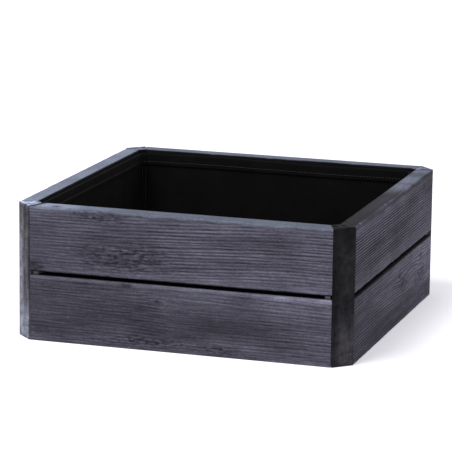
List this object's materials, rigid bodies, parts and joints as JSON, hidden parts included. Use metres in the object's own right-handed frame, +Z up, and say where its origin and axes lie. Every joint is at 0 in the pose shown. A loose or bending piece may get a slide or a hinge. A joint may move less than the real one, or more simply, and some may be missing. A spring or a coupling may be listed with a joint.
{
  "type": "modular planter",
  "caption": "Square slot-together garden planter: stacked dark-stained boards slide down between chamfered corner posts, with pegged spacers in the shadow gap and a felt liner bag inside.",
  "frame": {"origin": "on the ground, under the middle of the planter", "axes": "+Z up, front towards -Y, +X to the right seen from the front"},
  "size_m": [0.6, 0.6, 0.236],
  "materials": {
    "stained_board": "dark charcoal stain on brushed softwood, matte",
    "stained_post": "dark charcoal stain on planed softwood, matte",
    "spacer": "dark grey moulded plastic, matte",
    "liner": "black needle-punched felt"
  },
  "bodies": {
    "corner_posts": {"corner_post_front_right": "stained_post", "corner_post_back_right": "stained_post", "corner_post_back_left": "stained_post", "corner_post_front_left": "stained_post"},
    "lower_front": {"lower_board_front": "stained_board", "course_spacer_front_a": "spacer", "course_spacer_front_b": "spacer"},
    "upper_front": {"upper_board_front": "stained_board"},
    "lower_right": {"lower_board_right": "stained_board", "course_spacer_right_a": "spacer", "course_spacer_right_b": "spacer"},
    "upper_right": {"upper_board_right": "stained_board"},
    "lower_back": {"lower_board_back": "stained_board", "course_spacer_back_a": "spacer", "course_spacer_back_b": "spacer"},
    "upper_back": {"upper_board_back": "stained_board"},
    "lower_left": {"lower_board_left": "stained_board", "course_spacer_left_a": "spacer", "course_spacer_left_b": "spacer"},
    "upper_left": {"upper_board_left": "stained_board"},
    "liner": {"liner_bag": "liner"}
  },
  "joints": [
    {"name": "lift_lower_front", "type": "slide", "parent": "corner_posts", "child": "lower_front", "axis": [0, 0, 1], "range_m": [0, 0.226]},
    {"name": "lift_upper_front", "type": "slide", "parent": "lower_front", "child": "upper_front", "axis": [0, 0, 1], "range_m": [0, 0.105]},
    {"name": "lift_lower_right", "type": "slide", "parent": "corner_posts", "child": "lower_right", "axis": [0, 0, 1], "range_m": [0, 0.226]},
    {"name": "lift_upper_right", "type": "slide", "parent": "lower_right", "child": "upper_right", "axis": [0, 0, 1], "range_m": [0, 0.105]},
    {"name": "lift_lower_back", "type": "slide", "parent": "corner_posts", "child": "lower_back", "axis": [0, 0, 1], "range_m": [0, 0.226]},
    {"name": "lift_upper_back", "type": "slide", "parent": "lower_back", "child": "upper_back", "axis": [0, 0, 1], "range_m": [0, 0.105]},
    {"name": "lift_lower_left", "type": "slide", "parent": "corner_posts", "child": "lower_left", "axis": [0, 0, 1], "range_m": [0, 0.226]},
    {"name": "lift_upper_left", "type": "slide", "parent": "lower_left", "child": "upper_left", "axis": [0, 0, 1], "range_m": [0, 0.105]},
    {"name": "lift_liner", "type": "slide", "parent": "corner_posts", "child": "liner", "axis": [0, 0, 1], "range_m": [0, 0.241]}
  ]
}
